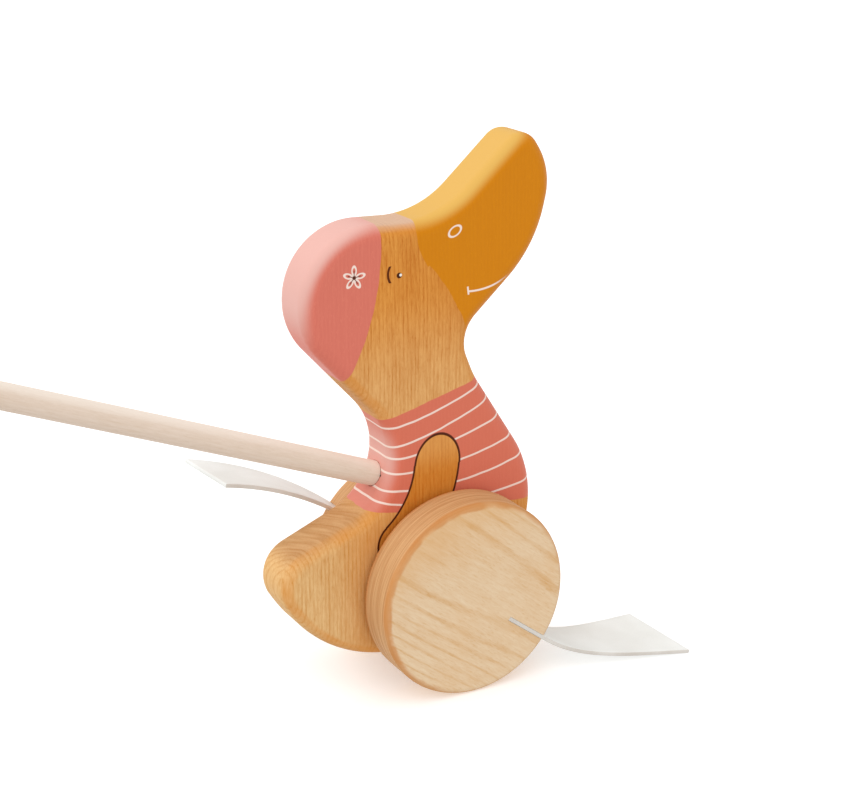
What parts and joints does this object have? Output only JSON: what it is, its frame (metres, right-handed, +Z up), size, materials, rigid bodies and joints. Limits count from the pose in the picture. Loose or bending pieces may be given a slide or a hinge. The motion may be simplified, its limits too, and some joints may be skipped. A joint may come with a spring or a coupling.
{
  "type": "push-along toy",
  "caption": "Wooden duck push toy: a rounded board body on disc wheels that share an axle, with flapping sheet feet in the wheels and a long push stick with a ball end.",
  "frame": {"origin": "the middle of the footprint, on the floor that the wheels stand on", "axes": "+X forwards, the way the beak points and the toy is pushed; +Y to the duck's left, along the axle; +Z up"},
  "size_m": [0.5836, 0.0931, 0.2749],
  "materials": {
    "body_wood": "oiled hardwood with painted bonnet, beak and striped shirt",
    "stick_wood": "bare pale dowel",
    "axle_wood": "bare turned wood",
    "wheel_wood": "oiled pale hardwood",
    "foot_leather": "smooth white leather sheet with a raw edge"
  },
  "bodies": {
    "duck": {"duck_body": "body_wood", "push_stick": "stick_wood", "stick_ball": "stick_wood"},
    "wheelset": {"axle": "axle_wood", "washer_right": "axle_wood", "washer_left": "axle_wood", "wheel_right": "wheel_wood", "wheel_left": "wheel_wood", "foot_root_right": "foot_leather", "foot_root_left": "foot_leather"},
    "right_foot": {"foot_blade_right": "foot_leather"},
    "left_foot": {"foot_blade_left": "foot_leather"}
  },
  "joints": [
    {"name": "wheels_roll", "type": "hinge", "parent": "duck", "child": "wheelset", "pos_m": [0.19716, 0, 0.04], "axis": [0, 1, 0], "continuous": true},
    {"name": "right_foot_bend", "type": "hinge", "parent": "wheelset", "child": "right_foot", "pos_m": [0.2299, -0.02375, 0.01533], "axis": [0, 1, 0], "range_deg": [-75, 75], "stiffness_Nm_per_rad": 0.04},
    {"name": "left_foot_bend", "type": "hinge", "parent": "wheelset", "child": "left_foot", "pos_m": [0.16442, 0.02375, 0.06467], "axis": [0, 1, 0], "range_deg": [-75, 75], "stiffness_Nm_per_rad": 0.04}
  ]
}
